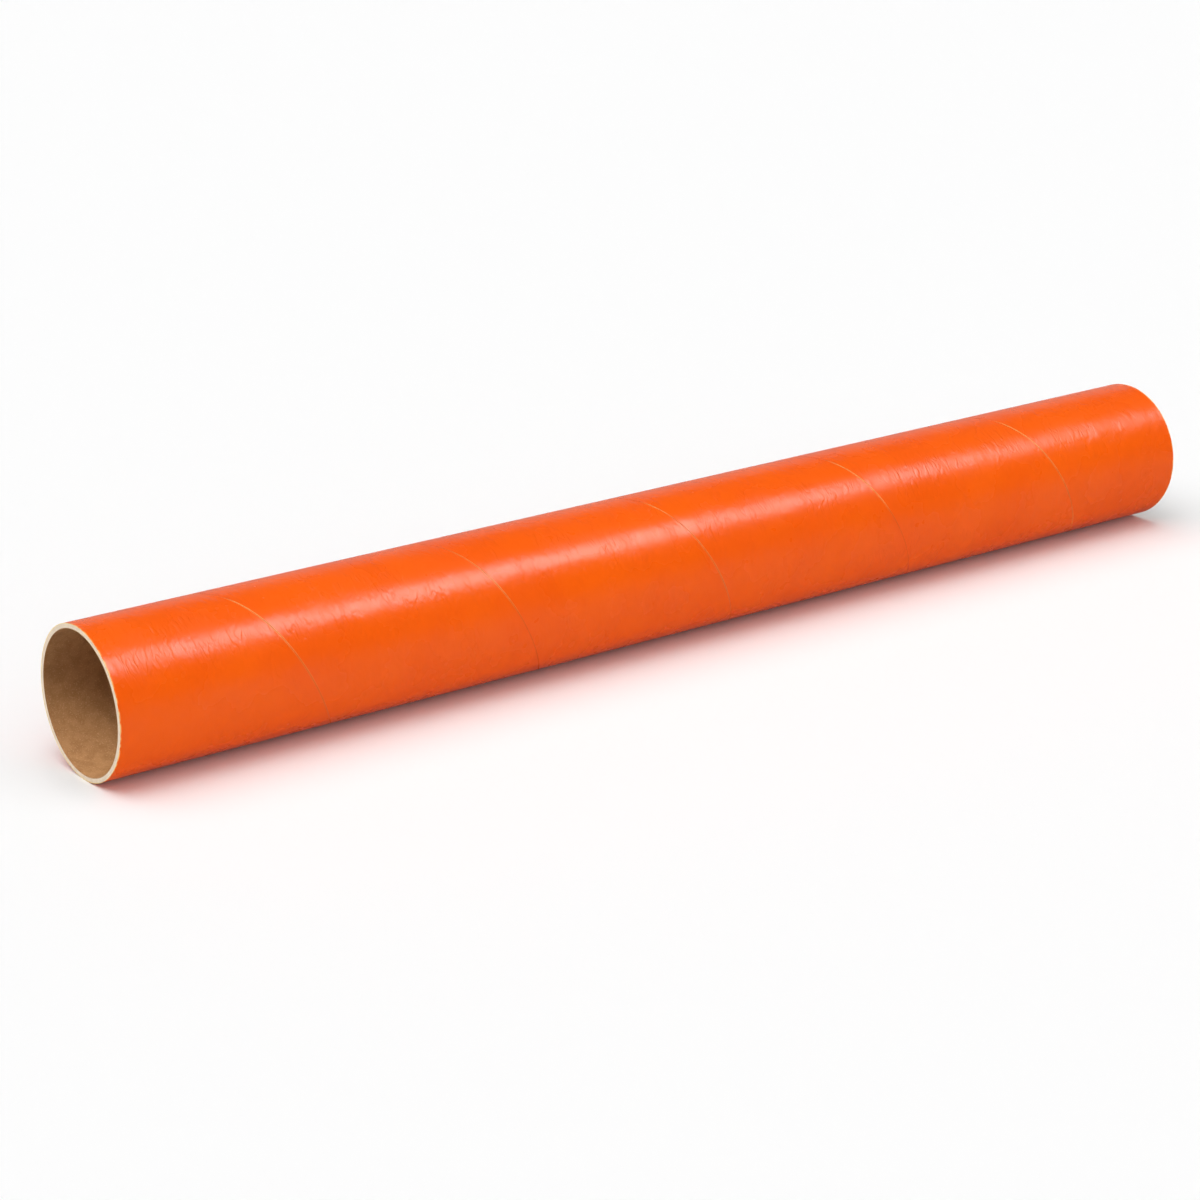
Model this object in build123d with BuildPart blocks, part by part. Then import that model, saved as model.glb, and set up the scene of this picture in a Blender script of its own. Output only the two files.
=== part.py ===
from build123d import *
import os

# Spiral-wound cardboard tube with a coloured paper wrap, lying on its side, in millimetres.
# The origin is on the floor, under the middle of the tube. +X runs along the tube from its near
# end to its far end, and +Z is up. Stations are distances along the tube from the near end, and
# bearings are degrees round it from its top, turning towards -Y.

# Tube
tube_length = 609.6
bore_diameter = 63.5
wall_thickness = 2.3

# Cut ends: the saw leaves both edges of the wall a little round, and a glue line shows between plies
outer_edge_radius = 0.3
inner_edge_radius = 0.2
ply_line_inset = 1.0
ply_line_width = 0.15
ply_line_depth = 0.15

# Winding: each strip of paper climbs by the same lead, and its seam is placed where it crosses a station
winding_lead = 110.6
seam_station = 299.5

# Coloured wrap, the last strip wound on, whose edges leave a narrow gap
wrap_thickness = 0.2
wrap_gap = 0.6
wrap_bearing = 45.0

# Brown liner, the first strip, with a gap of its own on the other side of the tube
liner_thickness = 0.2
liner_gap = 0.4
liner_bearing = 225.0

# Worked out from the sizes above
bore_radius = bore_diameter / 2
outer_radius = bore_radius + wall_thickness
ply_line_radius = outer_radius - ply_line_inset
near_end = Plane(origin=(-tube_length / 2, 0, outer_radius), x_dir=(0, 0, 1), z_dir=(1, 0, 0))
far_end = near_end.offset(tube_length)


def seam(bearing, radius):
    """The right-handed helix of a strip's seam, past both ends, and the plane square to its start."""
    run_out = winding_lead / 8
    start_bearing = bearing - 360 * (seam_station + run_out) / winding_lead
    start = Plane(near_end.offset(-run_out).location * Rotation(0, 0, start_bearing))
    path = start * Helix(pitch=winding_lead, height=tube_length + 2 * run_out, radius=radius)
    return path, Plane(origin=path @ 0, x_dir=start.x_dir, z_dir=path % 0)


# The tube, whose plies are glued into one wall
with BuildPart() as tube:
    with BuildSketch(near_end):
        Circle(outer_radius)
        Circle(bore_radius, mode=Mode.SUBTRACT)
    extrude(amount=tube_length)
    rims = tube.edges().filter_by(GeomType.CIRCLE).group_by(SortBy.RADIUS)
    fillet(rims[-1], outer_edge_radius)
    fillet(rims[0], inner_edge_radius)

    # The glue line, a fine ring sunk in each cut end
    for end, inwards in ((near_end, 1), (far_end, -1)):
        with BuildSketch(end):
            Circle(ply_line_radius)
            Circle(ply_line_radius - ply_line_width, mode=Mode.SUBTRACT)
        extrude(amount=inwards * ply_line_depth, mode=Mode.SUBTRACT)

    # The gap along each spiral seam, as deep as the paper that leaves it
    for bearing, radius, thickness, gap in (
        (wrap_bearing, outer_radius, wrap_thickness, wrap_gap),
        (liner_bearing, bore_radius, liner_thickness, liner_gap),
    ):
        path, across_seam = seam(bearing, radius)
        with BuildSketch(across_seam):
            Rectangle(2 * thickness, gap)
        sweep(path=path, is_frenet=True, mode=Mode.SUBTRACT)

tube.part.label = "tube"

os.makedirs("parts", exist_ok=True)
export_step(tube.part, "parts/tube.step")
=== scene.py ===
"""Looks of a spiral-wound cardboard tube: an orange paper wrap and a brown liner on a board core.

All lengths are metres. The tube lies along X on the floor, with its near end at -X. A station is
a distance along the tube from its near end. A bearing is an angle round the tube from its top,
turning towards -Y. Materials measure from the middle of the tube's axis.
"""

from math import cos, pi, radians, sin, tau

import bmesh
import bpy
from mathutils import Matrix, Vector


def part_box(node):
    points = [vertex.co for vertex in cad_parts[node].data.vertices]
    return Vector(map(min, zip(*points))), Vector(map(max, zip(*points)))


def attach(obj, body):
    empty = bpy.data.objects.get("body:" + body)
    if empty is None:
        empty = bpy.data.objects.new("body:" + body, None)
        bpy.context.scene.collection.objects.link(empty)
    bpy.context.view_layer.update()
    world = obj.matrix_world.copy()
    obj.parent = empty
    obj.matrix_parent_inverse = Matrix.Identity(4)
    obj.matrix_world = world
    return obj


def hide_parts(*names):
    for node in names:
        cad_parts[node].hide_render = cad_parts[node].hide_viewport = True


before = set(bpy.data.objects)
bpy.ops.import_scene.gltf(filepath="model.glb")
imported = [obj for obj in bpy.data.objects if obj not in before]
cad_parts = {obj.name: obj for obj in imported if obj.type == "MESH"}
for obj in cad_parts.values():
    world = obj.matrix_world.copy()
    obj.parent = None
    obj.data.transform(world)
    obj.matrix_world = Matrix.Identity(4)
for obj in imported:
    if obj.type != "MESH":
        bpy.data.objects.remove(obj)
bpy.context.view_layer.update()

MM = 0.001

# Sizes read from the frame, and those that the part's source names
low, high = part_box("tube")
length = high.x - low.x
outer_radius = (high.z - low.z) / 2
axis_height = (high.z + low.z) / 2
wall = 2.3 * MM
bore_radius = outer_radius - wall
paper = 0.2 * MM
winding_lead = 110.6 * MM
seam_station = 299.5 * MM
wrap_bearing = radians(45)
liner_bearing = radians(225)
wrap_gap = 0.6 * MM
liner_gap = 0.4 * MM
glue_line_inset = 1.0 * MM
glue_line_width = 0.15 * MM
glue_line_depth = 0.15 * MM

# How deep the wound strips' faces are creased in the mesh itself
wrap_crease_depth = 0.05 * MM
liner_crease_depth = 0.03 * MM

# Mesh steps round the tube and across a strip, and the limits for welds and for smooth corners
steps_round = 144
wrap_steps_across = 118
liner_steps_across = 60
weld_distance = 0.002 * MM
smooth_angle = radians(40)


class Tree:
    """A node tree under construction: adds a node with its inputs, and does sums with sockets."""

    def __init__(self, tree):
        self.tree = tree

    def feed(self, socket, value):
        if isinstance(value, bpy.types.NodeSocket):
            self.tree.links.new(value, socket)
        else:
            socket.default_value = value

    def add(self, kind, inputs=None, **settings):
        node = self.tree.nodes.new(kind)
        for name, value in settings.items():
            setattr(node, name, value)
        for name, value in (inputs or {}).items():
            self.feed(node.inputs[name], value)
        return node

    def math(self, operation, *values):
        node = self.add("ShaderNodeMath", operation=operation)
        for socket, value in zip(node.inputs, values):
            self.feed(socket, value)
        return node.outputs[0]

    def vector_math(self, operation, *vectors):
        node = self.add("ShaderNodeVectorMath", operation=operation)
        for socket, vector in zip(node.inputs, vectors):
            self.feed(socket, vector)
        return node.outputs[0]

    def noise(self, vector, scale, detail=2.0, roughness=0.5):
        """Noise with this many features to a metre at its coarsest."""
        inputs = {"Vector": vector, "Scale": scale, "Detail": detail, "Roughness": roughness}
        return self.add("ShaderNodeTexNoise", inputs).outputs[0]

    def ramp(self, value, start, end, low=0.0, high=1.0):
        """The value moved smoothly from low to high as it goes from start to end."""
        inputs = {"Value": value, "From Min": start, "From Max": end, "To Min": low, "To Max": high}
        return self.add("ShaderNodeMapRange", inputs, interpolation_type="SMOOTHSTEP").outputs[0]

    def mix(self, factor, first, second):
        node = self.add("ShaderNodeMix", data_type="RGBA")
        self.feed(node.inputs[0], factor)
        self.feed(node.inputs[6], first)
        self.feed(node.inputs[7], second)
        return node.outputs[2]


def colour(red, green, blue):
    """A colour given in the 0 to 255 steps of a screen."""
    def linear(step):
        share = step / 255
        return share / 12.92 if share <= 0.04045 else ((share + 0.055) / 1.055) ** 2.4
    return (linear(red), linear(green), linear(blue), 1.0)


# Shader groups

def new_group(name, kind, inputs, outputs):
    """An empty node group, and the sockets that its inputs arrive on."""
    group = bpy.data.node_groups.new(name, kind)
    for label, socket_type, default in inputs:
        socket = group.interface.new_socket(label, in_out="INPUT", socket_type=socket_type)
        if default is not None:
            socket.default_value = default
    for label, socket_type in outputs:
        group.interface.new_socket(label, in_out="OUTPUT", socket_type=socket_type)
    tree = Tree(group)
    given = tree.add("NodeGroupInput").outputs
    return group, tree, given


def make_winding_creases():
    """Fine creases that run round the tube, where the strip was pulled tight and let go.

    The height is made of soft folds that wander a little, sharp creases pressed into them in
    patches, and broad waves in the sheet.
    """
    wander_scale = 90.0
    wander_reach = (3 * MM, 3 * MM, 3 * MM)
    crease_width = 0.24
    crease_height = -0.5
    patch_scale = 90.0
    wave_scale = 75.0
    wave_height = 1.5
    inputs = [
        ("Vector", "NodeSocketVector", None),
        ("Spacing", "NodeSocketFloat", 1.5 * MM),
        ("Length", "NodeSocketFloat", 9 * MM),
    ]
    outputs = [("Height", "NodeSocketFloat")]
    group, tree, given = new_group("winding_creases", "ShaderNodeTree", inputs, outputs)
    vector = given["Vector"]
    wander = tree.add("ShaderNodeTexNoise", {
        "Vector": vector, "Scale": wander_scale, "Detail": 1.0,
    }).outputs["Color"]
    wandered = tree.vector_math("MULTIPLY_ADD", wander, wander_reach, vector)
    along = tree.math("DIVIDE", 1.0, given["Spacing"])
    crosswise = tree.math("DIVIDE", 1.0, given["Length"])
    scale = tree.add("ShaderNodeCombineXYZ", {"X": along, "Y": crosswise, "Z": crosswise})
    stretched = tree.vector_math("MULTIPLY", wandered, scale.outputs[0])
    folds = tree.noise(stretched, scale=1.0, detail=1.5)
    ridge = tree.math("ABSOLUTE", tree.math("MULTIPLY_ADD", folds, 2.0, -1.0))
    crease = tree.ramp(ridge, start=0.0, end=crease_width, low=crease_height, high=0.0)
    patches = tree.ramp(tree.noise(vector, patch_scale), start=0.30, end=0.66)
    creased = tree.math("MULTIPLY_ADD", crease, patches, folds)
    waves = tree.noise(vector, wave_scale, detail=0.0)
    height = tree.math("MULTIPLY_ADD", waves, wave_height, creased)
    tree.add("NodeGroupOutput", {"Height": height})
    return group


def make_seam_wear_and_light():
    """Where the seam is pale: its pale inside shows as wear, and painted light makes it paler high
    on the tube.

    It shows in stretches, high on the tube but hardly on its very top, and at every other
    crossing it goes on lower down.
    """
    low_share = 0.45
    top_share = 0.15
    below_top, clear_of_top = 0.15 * MM, 1.85 * MM
    stretch_scale = 30.0
    inputs = [("Vector", "NodeSocketVector", None), ("Lead", "NodeSocketFloat", winding_lead)]
    outputs = [("Showing", "NodeSocketFloat")]
    group, tree, given = new_group("seam_wear_and_light", "ShaderNodeTree", inputs, outputs)
    vector = given["Vector"]
    place = tree.add("ShaderNodeSeparateXYZ", {"Vector": vector}).outputs
    half_turns = tree.math("DIVIDE", tree.math("MULTIPLY", place["X"], pi), given["Lead"])
    swing = tree.math("COSINE", half_turns)
    every_other = tree.ramp(swing, start=-0.8, end=0.8, low=0.0, high=low_share)
    # Painted light: the seam shows paler high on the tube, where the light from above falls on its
    # edge.
    lit_high_up = tree.ramp(place["Z"], start=-2 * MM, end=26 * MM)
    from_top = tree.math("SUBTRACT", outer_radius, place["Z"])
    off_the_top = tree.ramp(from_top, start=below_top, end=clear_of_top, low=top_share)
    streaks = tree.noise(vector, stretch_scale)
    stretches = tree.ramp(streaks, start=0.34, end=0.56, low=0.2)
    most = tree.math("MULTIPLY", tree.math("MAXIMUM", every_other, lit_high_up), off_the_top)
    showing = tree.math("MULTIPLY", most, stretches)
    tree.add("NodeGroupOutput", {"Showing": showing})
    return group


def make_card_fibres():
    """Short matted fibres of unbleached card: a fleck mask, a soft mottle and a height."""
    mottle_to_fibre = 0.12
    inputs = [("Vector", "NodeSocketVector", None), ("Fibre Size", "NodeSocketFloat", 0.5 * MM)]
    outputs = [
        ("Flecks", "NodeSocketFloat"),
        ("Mottle", "NodeSocketFloat"),
        ("Height", "NodeSocketFloat"),
    ]
    group, tree, given = new_group("card_fibres", "ShaderNodeTree", inputs, outputs)
    vector = given["Vector"]
    fineness = tree.math("DIVIDE", 1.0, given["Fibre Size"])
    coarseness = tree.math("MULTIPLY", fineness, mottle_to_fibre)
    fine = tree.noise(vector, fineness, detail=3.0, roughness=0.6)
    coarse = tree.noise(vector, coarseness, detail=3.0, roughness=0.65)
    flecks = tree.ramp(fine, start=0.55, end=0.68)
    tree.add("NodeGroupOutput", {"Flecks": flecks, "Mottle": coarse, "Height": fine})
    return group


winding_creases = make_winding_creases()
seam_wear_and_light = make_seam_wear_and_light()
card_fibres = make_card_fibres()


def new_material(name):
    """A material, its tree, its Principled surface, and places from the middle of the tube."""
    material = bpy.data.materials.new(name)
    material.use_nodes = True
    material.node_tree.nodes.clear()
    tree = Tree(material.node_tree)
    surface = tree.add("ShaderNodeBsdfPrincipled")
    tree.add("ShaderNodeOutputMaterial", {"Surface": surface.outputs[0]})
    place = tree.add("ShaderNodeTexCoord").outputs["Object"]
    centred = tree.add("ShaderNodeMapping", {"Vector": place, "Location": (0.0, 0.0, -axis_height)})
    return material, tree, surface, centred.outputs[0]


def place_group(tree, group, inputs):
    """Puts a shared group in a tree with these inputs, and gives its outputs."""
    node = tree.add("ShaderNodeGroup", node_tree=group)
    for name, value in inputs.items():
        tree.feed(node.inputs[name], value)
    return node.outputs


def add_bump(tree, surface, height, strength, distance):
    inputs = {"Height": height, "Strength": strength, "Distance": distance}
    bump = tree.add("ShaderNodeBump", inputs)
    tree.feed(surface.inputs["Normal"], bump.outputs[0])


def near_cut_end(tree, place, reach):
    """One at the tube's two cut ends, fading to nothing this far in from them."""
    along = tree.add("ShaderNodeSeparateXYZ", {"Vector": place}).outputs["X"]
    return tree.ramp(tree.math("ABSOLUTE", along), length / 2 - reach, length / 2)


def make_orange_paper():
    """Satin orange paper, a little cloudy and creased, rubbed pale at seam and cut ends; painted
    light pales the seam high up.
    """
    material, tree, surface, place = new_material("orange_paper")
    fresh, deeper, pale_worn_and_lit = colour(255, 98, 0), colour(250, 92, 2), colour(255, 206, 124)
    cloudy = tree.noise(place, scale=22.0, detail=3.0, roughness=0.6)
    tint = tree.mix(tree.ramp(cloudy, start=0.3, end=0.7), fresh, deeper)
    edge = tree.add("ShaderNodeAttribute", attribute_name="edge_distance").outputs["Fac"]
    by_edge = tree.ramp(edge, start=0.22 * MM, end=0.02 * MM, high=0.9)
    worn_and_lit = place_group(tree, seam_wear_and_light, {"Vector": place})["Showing"]
    specks = tree.ramp(tree.noise(place, scale=300.0), start=0.3, end=0.6)
    # Along the seam the pale is partly wear and partly painted light, paler high on the tube.
    seam_worn_and_lit = tree.math("MULTIPLY", worn_and_lit, by_edge)
    rubbed_end = tree.math("MULTIPLY", near_cut_end(tree, place, reach=0.8 * MM), specks)
    pale_wear_and_light = tree.math("MAXIMUM", seam_worn_and_lit, rubbed_end)
    tree.feed(surface.inputs["Base Color"], tree.mix(pale_wear_and_light, tint, pale_worn_and_lit))
    sheen = tree.noise(place, scale=40.0, detail=3.0, roughness=0.55)
    roughness = tree.ramp(sheen, start=0.25, end=0.75, low=0.24, high=0.31)
    tree.feed(surface.inputs["Roughness"], roughness)
    surface.inputs["Specular IOR Level"].default_value = 0.36
    creases = place_group(tree, winding_creases, {
        "Vector": place, "Spacing": 2.8 * MM, "Length": 7.5 * MM,
    })
    add_bump(tree, surface, creases["Height"], strength=1.0, distance=0.145 * MM)
    return material


def make_raw_board(name, light, dark):
    """Bare board, such as a sawn edge or the floor of a seam."""
    material, tree, surface, place = new_material(name)
    fibres = place_group(tree, card_fibres, {"Vector": place, "Fibre Size": 0.35 * MM})
    tree.feed(surface.inputs["Base Color"], tree.mix(fibres["Mottle"], light, dark))
    surface.inputs["Roughness"].default_value = 0.85
    add_bump(tree, surface, fibres["Height"], strength=0.6, distance=0.05 * MM)
    return material


def make_brown_liner():
    """Unbleached brown paper, mottled, with pale fibres showing in it."""
    material, tree, surface, place = new_material("brown_liner")
    light, dark, fibre = colour(178, 130, 82), colour(160, 113, 67), colour(214, 168, 120)
    fleck_share = 0.5
    fibres = place_group(tree, card_fibres, {"Vector": place, "Fibre Size": 0.6 * MM})
    base = tree.mix(tree.ramp(fibres["Mottle"], start=0.3, end=0.7), light, dark)
    flecked = tree.mix(tree.math("MULTIPLY", fibres["Flecks"], fleck_share), base, fibre)
    tree.feed(surface.inputs["Base Color"], flecked)
    surface.inputs["Roughness"].default_value = 0.8
    add_bump(tree, surface, fibres["Height"], strength=0.5, distance=0.06 * MM)
    return material


def make_torn_edge():
    """The orange paper's edge: its pale inside shows in places, some of it painted light high up;
    the rest took the colour.
    """
    material, tree, surface, place = new_material("paper_edge")
    stained, pale_inside_and_lit = colour(236, 90, 10), colour(255, 226, 140)
    worn_and_lit = place_group(tree, seam_wear_and_light, {"Vector": place})["Showing"]
    specks = tree.ramp(tree.noise(place, scale=900.0), start=0.30, end=0.55, low=0.4)
    # Along the seam the pale edge is partly wear and partly painted light, paler high on the tube.
    torn_and_lit = tree.math("MULTIPLY", worn_and_lit, specks)
    showing = tree.math("MAXIMUM", torn_and_lit, near_cut_end(tree, place, reach=0.5 * MM))
    tree.feed(surface.inputs["Base Color"], tree.mix(showing, stained, pale_inside_and_lit))
    surface.inputs["Roughness"].default_value = 0.8
    return material


orange_paper = make_orange_paper()
paper_edge = make_torn_edge()
stained_ply = make_raw_board("stained_ply", colour(248, 104, 20), colour(226, 84, 10))
liner_edge = make_raw_board("liner_edge", colour(196, 156, 112), colour(168, 128, 86))
core_board = make_raw_board("core_board", colour(252, 240, 222), colour(232, 206, 174))
brown_liner = make_brown_liner()


# Pieces

def lay_out_rows(tree, given):
    """A flat grid with one row for each step round the tube, and where its points are in it.

    Each row has the points of the paper's face from edge to edge, then two on its underside,
    then its first point again.
    """
    math = tree.math
    across = given["Steps Across"]
    points_in_row = math("ADD", across, 4)
    rows = math("MULTIPLY_ADD", given["Turns"], given["Steps Round"], 1)
    grid = tree.add("GeometryNodeMeshGrid", {"Vertices X": rows, "Vertices Y": points_in_row})
    index = tree.add("GeometryNodeInputIndex").outputs[0]
    row = math("FLOOR", math("DIVIDE", math("ADD", index, 0.5), points_in_row))
    column = math("SUBTRACT", index, math("MULTIPLY", row, points_in_row))
    on_face = math("LESS_THAN", column, math("ADD", across, 0.5))
    far_underside = math("COMPARE", column, math("ADD", across, 1), 0.5)
    near_underside = math("COMPARE", column, math("ADD", across, 2), 0.5)
    on_underside = math("ADD", far_underside, near_underside)
    share_on_face = math("MULTIPLY", on_face, math("DIVIDE", column, across))
    share_across = math("ADD", share_on_face, far_underside)
    turns = math("DIVIDE", row, given["Steps Round"])
    return grid.outputs[0], turns, on_face, on_underside, share_across


def find_first_edge(tree, given, turns):
    """Where the strip's first edge is on each row, from one whole turn before the near end."""
    math = tree.math
    turns_at_seam = math("DIVIDE", given["Seam Bearing"], tau)
    turns_to_station = math("DIVIDE", given["Seam Station"], given["Lead"])
    phase = math("FRACT", math("SUBTRACT", turns_to_station, turns_at_seam))
    seam = math("MULTIPLY", given["Lead"], math("ADD", turns, math("SUBTRACT", phase, 2.0)))
    return math("MULTIPLY_ADD", given["Gap"], 0.5, seam)


def place_points(tree, given, turns, station, on_underside):
    """Each point's place round the axis, cut off at the ends, with the face sunk by its creases."""
    folds_along = 220.0
    folds_round = 2.4
    math = tree.math
    cut_station = tree.add("ShaderNodeClamp", {
        "Value": station, "Min": 0.0, "Max": given["Tube Length"],
    }).outputs[0]
    along = math("MULTIPLY_ADD", given["Tube Length"], -0.5, cut_station)
    bearing = math("MULTIPLY", turns, tau)
    side = math("MULTIPLY", math("SINE", bearing), -1.0)
    up = math("COSINE", bearing)
    folds_at = tree.add("ShaderNodeCombineXYZ", {
        "X": math("MULTIPLY", along, folds_along),
        "Y": math("MULTIPLY", side, folds_round),
        "Z": math("MULTIPLY", up, folds_round),
    })
    folds = tree.noise(folds_at.outputs[0], scale=1.0, detail=1.5)
    face_folds = math("MULTIPLY", folds, math("SUBTRACT", 1.0, on_underside))
    sunk = math("MULTIPLY", face_folds, given["Crease Depth"])
    face_to_back = math("SUBTRACT", given["Back Radius"], given["Face Radius"])
    face_radius = math("MULTIPLY_ADD", sunk, math("SIGN", face_to_back), given["Face Radius"])
    radius = math("ADD", face_radius, math("MULTIPLY", on_underside, face_to_back))
    return tree.add("ShaderNodeCombineXYZ", {
        "X": along,
        "Y": math("MULTIPLY", radius, side),
        "Z": math("MULTIPLY_ADD", radius, up, given["Axis Height"]),
    }).outputs[0]


def mark_points(tree, mesh, marks):
    """Keeps these values on the mesh's points, each under its name."""
    for name, value in marks.items():
        mesh = tree.add("GeometryNodeStoreNamedAttribute", {
            "Geometry": mesh, "Name": name, "Value": value,
        }, data_type="FLOAT", domain="POINT").outputs[0]
    return mesh


def face_mark_over(tree, name, limit):
    """The faces on which the mean of their points' marks is over the limit."""
    mark = tree.add("GeometryNodeInputNamedAttribute", {"Name": name}, data_type="FLOAT")
    return tree.math("GREATER_THAN", mark.outputs[0], limit)


def make_wound_strip():
    """Geometry Nodes for a strip of paper wound round the axis, cut off square at both ends."""
    inputs = [
        ("Tube Length", "NodeSocketFloat", None),
        ("Axis Height", "NodeSocketFloat", None),
        ("Face Radius", "NodeSocketFloat", None),
        ("Back Radius", "NodeSocketFloat", None),
        ("Lead", "NodeSocketFloat", None),
        ("Gap", "NodeSocketFloat", None),
        ("Seam Station", "NodeSocketFloat", None),
        ("Seam Bearing", "NodeSocketFloat", None),
        ("Steps Round", "NodeSocketInt", None),
        ("Steps Across", "NodeSocketInt", None),
        ("Turns", "NodeSocketInt", None),
        ("Crease Depth", "NodeSocketFloat", None),
        ("Face Finish", "NodeSocketMaterial", None),
        ("Edge Finish", "NodeSocketMaterial", None),
    ]
    outputs = [("Strip", "NodeSocketGeometry")]
    group, tree, given = new_group("wound_strip", "GeometryNodeTree", inputs, outputs)
    math = tree.math
    grid, turns, on_face, on_underside, share_across = lay_out_rows(tree, given)
    first_edge = find_first_edge(tree, given, turns)
    width = math("SUBTRACT", given["Lead"], given["Gap"])
    last_edge = math("ADD", first_edge, width)
    station = math("MULTIPLY_ADD", share_across, width, first_edge)

    # Kept on the points: how far each is from the strip's nearer edge, which are off its face,
    # and which are in a row that lies wholly past an end
    rest_across = math("SUBTRACT", 1.0, share_across)
    before = math("LESS_THAN", last_edge, 0.0)
    after = math("GREATER_THAN", first_edge, given["Tube Length"])
    marked = mark_points(tree, grid, {
        "edge_distance": math("MULTIPLY", width, math("MINIMUM", share_across, rest_across)),
        "off_face": math("SUBTRACT", 1.0, on_face),
        "past_end": math("ADD", before, after),
    })
    placed = tree.add("GeometryNodeSetPosition", {
        "Geometry": marked, "Position": place_points(tree, given, turns, station, on_underside),
    })

    # Faces wholly past an end are dropped, and the rest closes where it is cut off
    kept = tree.add("GeometryNodeDeleteGeometry", {
        "Geometry": placed.outputs[0], "Selection": face_mark_over(tree, "past_end", 0.9),
    }, domain="FACE")
    realized = tree.add("GeometryNodeRealizeInstances", {"Geometry": kept.outputs[0]})
    faced = tree.add("GeometryNodeSetMaterial", {
        "Geometry": realized.outputs[0], "Material": given["Face Finish"],
    })
    edged = tree.add("GeometryNodeSetMaterial", {
        "Geometry": faced.outputs[0],
        "Selection": face_mark_over(tree, "off_face", 0.3),
        "Material": given["Edge Finish"],
    })
    tree.add("NodeGroupOutput", {"Strip": edged.outputs[0]})
    return group


def finish_mesh(name, mesh):
    """Links a finished mesh: welded, faces outwards, and smooth apart from its real corners."""
    shape = bmesh.new()
    shape.from_mesh(mesh)
    bmesh.ops.remove_doubles(shape, verts=shape.verts, dist=weld_distance)
    loose = [edge for edge in shape.edges if not edge.link_faces]
    bmesh.ops.delete(shape, geom=loose, context="EDGES")
    bmesh.ops.recalc_face_normals(shape, faces=shape.faces)
    shape.to_mesh(mesh)
    shape.free()
    mesh.shade_smooth()
    mesh.set_sharp_from_angle(angle=smooth_angle)
    mesh.name = name
    piece = bpy.data.objects.new(name, mesh)
    bpy.context.scene.collection.objects.link(piece)
    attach(piece, "root")
    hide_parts("tube")
    return piece


def wind_strip(name, tree, sizes):
    """Runs the strip's tree with these sizes and keeps the result as a plain mesh."""
    empty = bpy.data.meshes.new(name + "_carrier")
    carrier = bpy.data.objects.new(name + "_carrier", empty)
    bpy.context.scene.collection.objects.link(carrier)
    modifier = carrier.modifiers.new("wound_strip", "NODES")
    modifier.node_group = tree
    for item in tree.interface.items_tree:
        if item.in_out == "INPUT":
            modifier[item.identifier] = sizes[item.name]
    evaluated = carrier.evaluated_get(bpy.context.evaluated_depsgraph_get())
    mesh = bpy.data.meshes.new_from_object(evaluated)
    bpy.data.objects.remove(carrier)
    mesh.materials.pop(index=0)
    for helper in ("off_face", "past_end"):
        mesh.attributes.remove(mesh.attributes[helper])
    return finish_mesh(name, mesh)


wound_strip = make_wound_strip()
spare_turns = 3
shared_sizes = {
    "Tube Length": length,
    "Axis Height": axis_height,
    "Lead": winding_lead,
    "Seam Station": seam_station,
    "Steps Round": steps_round,
    "Turns": int(length / winding_lead) + spare_turns,
}
orange_wrap = wind_strip("orange_wrap", wound_strip, {
    **shared_sizes,
    "Face Radius": outer_radius,
    "Back Radius": outer_radius - paper,
    "Gap": wrap_gap,
    "Seam Bearing": wrap_bearing,
    "Steps Across": wrap_steps_across,
    "Crease Depth": wrap_crease_depth,
    "Face Finish": orange_paper,
    "Edge Finish": paper_edge,
})
kraft_liner = wind_strip("kraft_liner", wound_strip, {
    **shared_sizes,
    "Face Radius": bore_radius,
    "Back Radius": bore_radius + paper,
    "Gap": liner_gap,
    "Seam Bearing": liner_bearing,
    "Steps Across": liner_steps_across,
    "Crease Depth": liner_crease_depth,
    "Face Finish": brown_liner,
    "Edge Finish": liner_edge,
})


def make_board_core():
    """The board between the two papers, turned from its section, with a glue line in each end."""
    inside = bore_radius + paper
    outside = outer_radius - paper
    glue_outside = outer_radius - glue_line_inset
    glue_inside = glue_outside - glue_line_width
    cut = 0.02 * MM
    corner_depth = 0.10 * MM
    corner_width = 0.08 * MM
    glue_slope = 0.03 * MM
    cut_end = [
        (corner_depth, inside),
        (cut, inside + corner_width),
        (cut, glue_inside - glue_slope),
        (glue_line_depth, glue_inside),
        (glue_line_depth, glue_outside),
        (cut, glue_outside + glue_slope),
        (cut, outside - corner_width),
        (corner_depth, outside),
    ]
    section = [(-length / 2 + depth, radius) for depth, radius in cut_end]
    section += [(length / 2 - depth, radius) for depth, radius in reversed(cut_end)]
    finishes = (core_board, stained_ply, liner_edge)
    under_paper = {len(cut_end) - 1: 1, len(section) - 1: 2}
    core_steps = 2 * steps_round
    core = bmesh.new()
    rings = []
    for step in range(core_steps):
        bearing = tau * step / core_steps
        rings.append([
            core.verts.new((x, -radius * sin(bearing), axis_height + radius * cos(bearing)))
            for x, radius in section
        ])
    for ring, next_ring in zip(rings, rings[1:] + rings[:1]):
        for corner in range(len(section)):
            after = (corner + 1) % len(section)
            face = core.faces.new((ring[corner], ring[after], next_ring[after], next_ring[corner]))
            face.material_index = under_paper.get(corner, 0)
    mesh = bpy.data.meshes.new("board_core")
    core.to_mesh(mesh)
    core.free()
    for finish in finishes:
        mesh.materials.append(finish)
    return finish_mesh("board_core", mesh)


board_core = make_board_core()


# Floor, lamps and camera

floor_radius = 7.0
floor_white = 0.96
floor_top_up = 0.02


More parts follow.
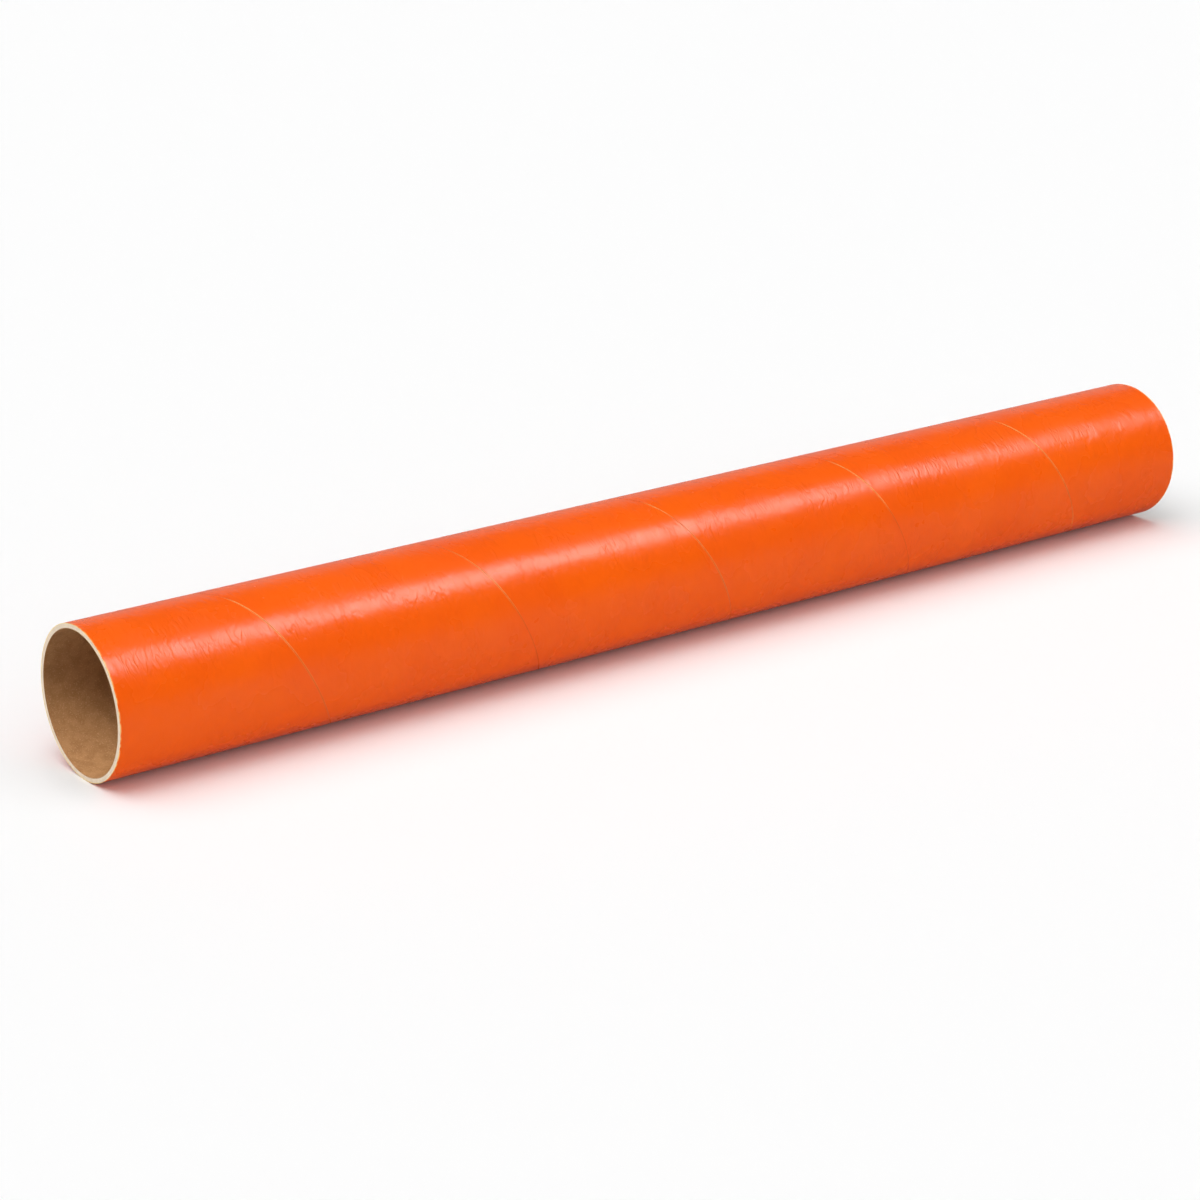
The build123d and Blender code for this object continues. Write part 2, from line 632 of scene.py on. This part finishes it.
def make_floor():
    """A round, matt white floor that gloss doesn't show.

    What the camera sees of it is topped up a little, and the tube's shadow stays.
    """
    material = bpy.data.materials.new("studio_floor")
    material.use_nodes = True
    material.node_tree.nodes.clear()
    tree = Tree(material.node_tree)
    rays = tree.add("ShaderNodeLightPath").outputs
    surface = tree.add("ShaderNodeBsdfPrincipled", {
        "Base Color": (floor_white, floor_white, floor_white, 1.0),
        "Roughness": 1.0,
        "Specular IOR Level": 0.0,
        "Emission Color": (1.0, 1.0, 1.0, 1.0),
        "Emission Strength": tree.math("MULTIPLY", rays["Is Camera Ray"], floor_top_up),
    })
    tree.add("ShaderNodeOutputMaterial", {"Surface": surface.outputs[0]})
    disc = bmesh.new()
    bmesh.ops.create_circle(disc, cap_ends=True, radius=floor_radius, segments=64)
    mesh = bpy.data.meshes.new("studio_floor")
    disc.to_mesh(mesh)
    disc.free()
    mesh.materials.append(material)
    floor = bpy.data.objects.new("studio_floor", mesh)
    floor.visible_glossy = False
    bpy.context.scene.collection.objects.link(floor)
    return floor


def make_lamp(name, towards, share, spread, lit=()):
    """A far, round soft lamp. A white surface square to it renders at this share of full white.

    The spread is how wide it looks, in degrees. Where it lights some objects only, those are
    given, and the others still shade them.
    """
    lamp = bpy.data.lights.new(name, "SUN")
    lamp.energy = share * pi
    lamp.angle = radians(spread)
    holder = bpy.data.objects.new(name, lamp)
    holder.rotation_euler = Vector(towards).to_track_quat("Z", "Y").to_euler()
    bpy.context.scene.collection.objects.link(holder)
    if lit:
        holder.light_linking.receiver_collection = bpy.data.collections.new(name + "_lights")
    for each in lit:
        holder.light_linking.receiver_collection.objects.link(each)


def make_room(level):
    """Even light from all round, at this share of full white."""
    world = bpy.data.worlds.new("studio_room")
    world.use_nodes = True
    world.node_tree.nodes["Background"].inputs["Color"].default_value = (level, level, level, 1.0)
    bpy.context.scene.world = world


def make_camera():
    """The photo's camera, fitted to the tube's outline and its two ends."""
    camera = bpy.data.cameras.new("photo_camera")
    camera.lens = 98.38
    camera.sensor_width = 36.0
    camera.clip_end = 30.0
    holder = bpy.data.objects.new("photo_camera", camera)
    holder.location = (-0.8921, -1.1413, 0.5241)
    holder.rotation_euler = (radians(70.637), 0.0, radians(-36.878))
    bpy.context.scene.collection.objects.link(holder)
    bpy.context.scene.camera = holder


floor = make_floor()
tube_pieces = (orange_wrap, board_core, kraft_liner)
outside_pieces = (orange_wrap, board_core)
make_lamp("key_lamp", towards=(0.52, -0.34, 0.78), share=0.32, spread=20, lit=tube_pieces)
make_lamp("overhead_lamp", towards=(-0.30, 0.10, 0.95), share=0.61, spread=70)
make_lamp("front_lamp", towards=(-0.64, -0.68, 0.34), share=0.30, spread=55, lit=outside_pieces)
make_lamp("floor_lamp", towards=(0.0, -0.62, 0.78), share=0.42, spread=90, lit=(floor,))
make_lamp("back_lamp", towards=(0.60, 0.78, 0.14), share=0.040, spread=40)
make_lamp("end_lamp", towards=(-0.60, -0.10, 0.79), share=0.75, spread=40, lit=(kraft_liner,))
make_room(level=0.09)
make_camera()
bpy.context.scene.view_settings.view_transform = "Standard"
